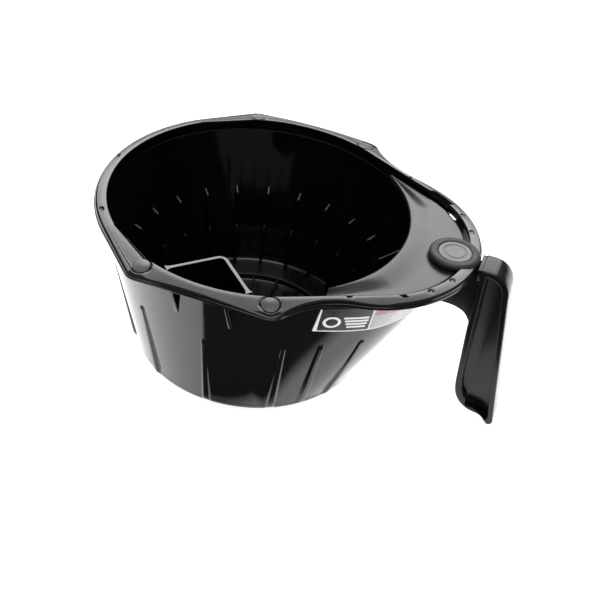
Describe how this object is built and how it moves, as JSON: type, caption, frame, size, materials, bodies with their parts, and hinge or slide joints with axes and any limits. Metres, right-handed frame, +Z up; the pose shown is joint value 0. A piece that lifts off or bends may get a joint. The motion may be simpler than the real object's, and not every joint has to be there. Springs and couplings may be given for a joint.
{
  "type": "coffee brew funnel",
  "caption": "Black plastic filter basket for a commercial coffee brewer, with slide rails, splash deck, ribbed conical bowl and a side handle.",
  "frame": {"origin": "middle of the bounding box on the plane the funnel stands on; the bowl's axis is at X = -0.03215", "axes": "+Z up along the bowl's axis, +X towards the handle, the slide rails run along X"},
  "size_m": [0.2588, 0.1956, 0.1114],
  "materials": {
    "black_plastic": "glossy injection-moulded polypropylene",
    "deck_plastic": "satin injection-moulded polypropylene",
    "badge_rubber": "matte moulded rubber",
    "badge_grey": "matte printed plastic",
    "label_film": "printed polyester film",
    "steel": "zinc-plated steel"
  },
  "bodies": {
    "root": {"funnel_shell": "black_plastic", "rim_frame": "black_plastic", "splash_deck": "deck_plastic", "bypass_fence": "black_plastic", "handle": "black_plastic", "outlet_ring": "black_plastic", "info_label": "label_film", "rail_plug_1": "black_plastic", "rail_plug_2": "black_plastic", "rail_plug_3": "black_plastic", "rail_plug_4": "black_plastic", "handle_screw_1": "steel", "handle_screw_2": "steel", "badge_cup": "badge_rubber", "badge_disc": "badge_grey"}
  },
  "joints": []
}
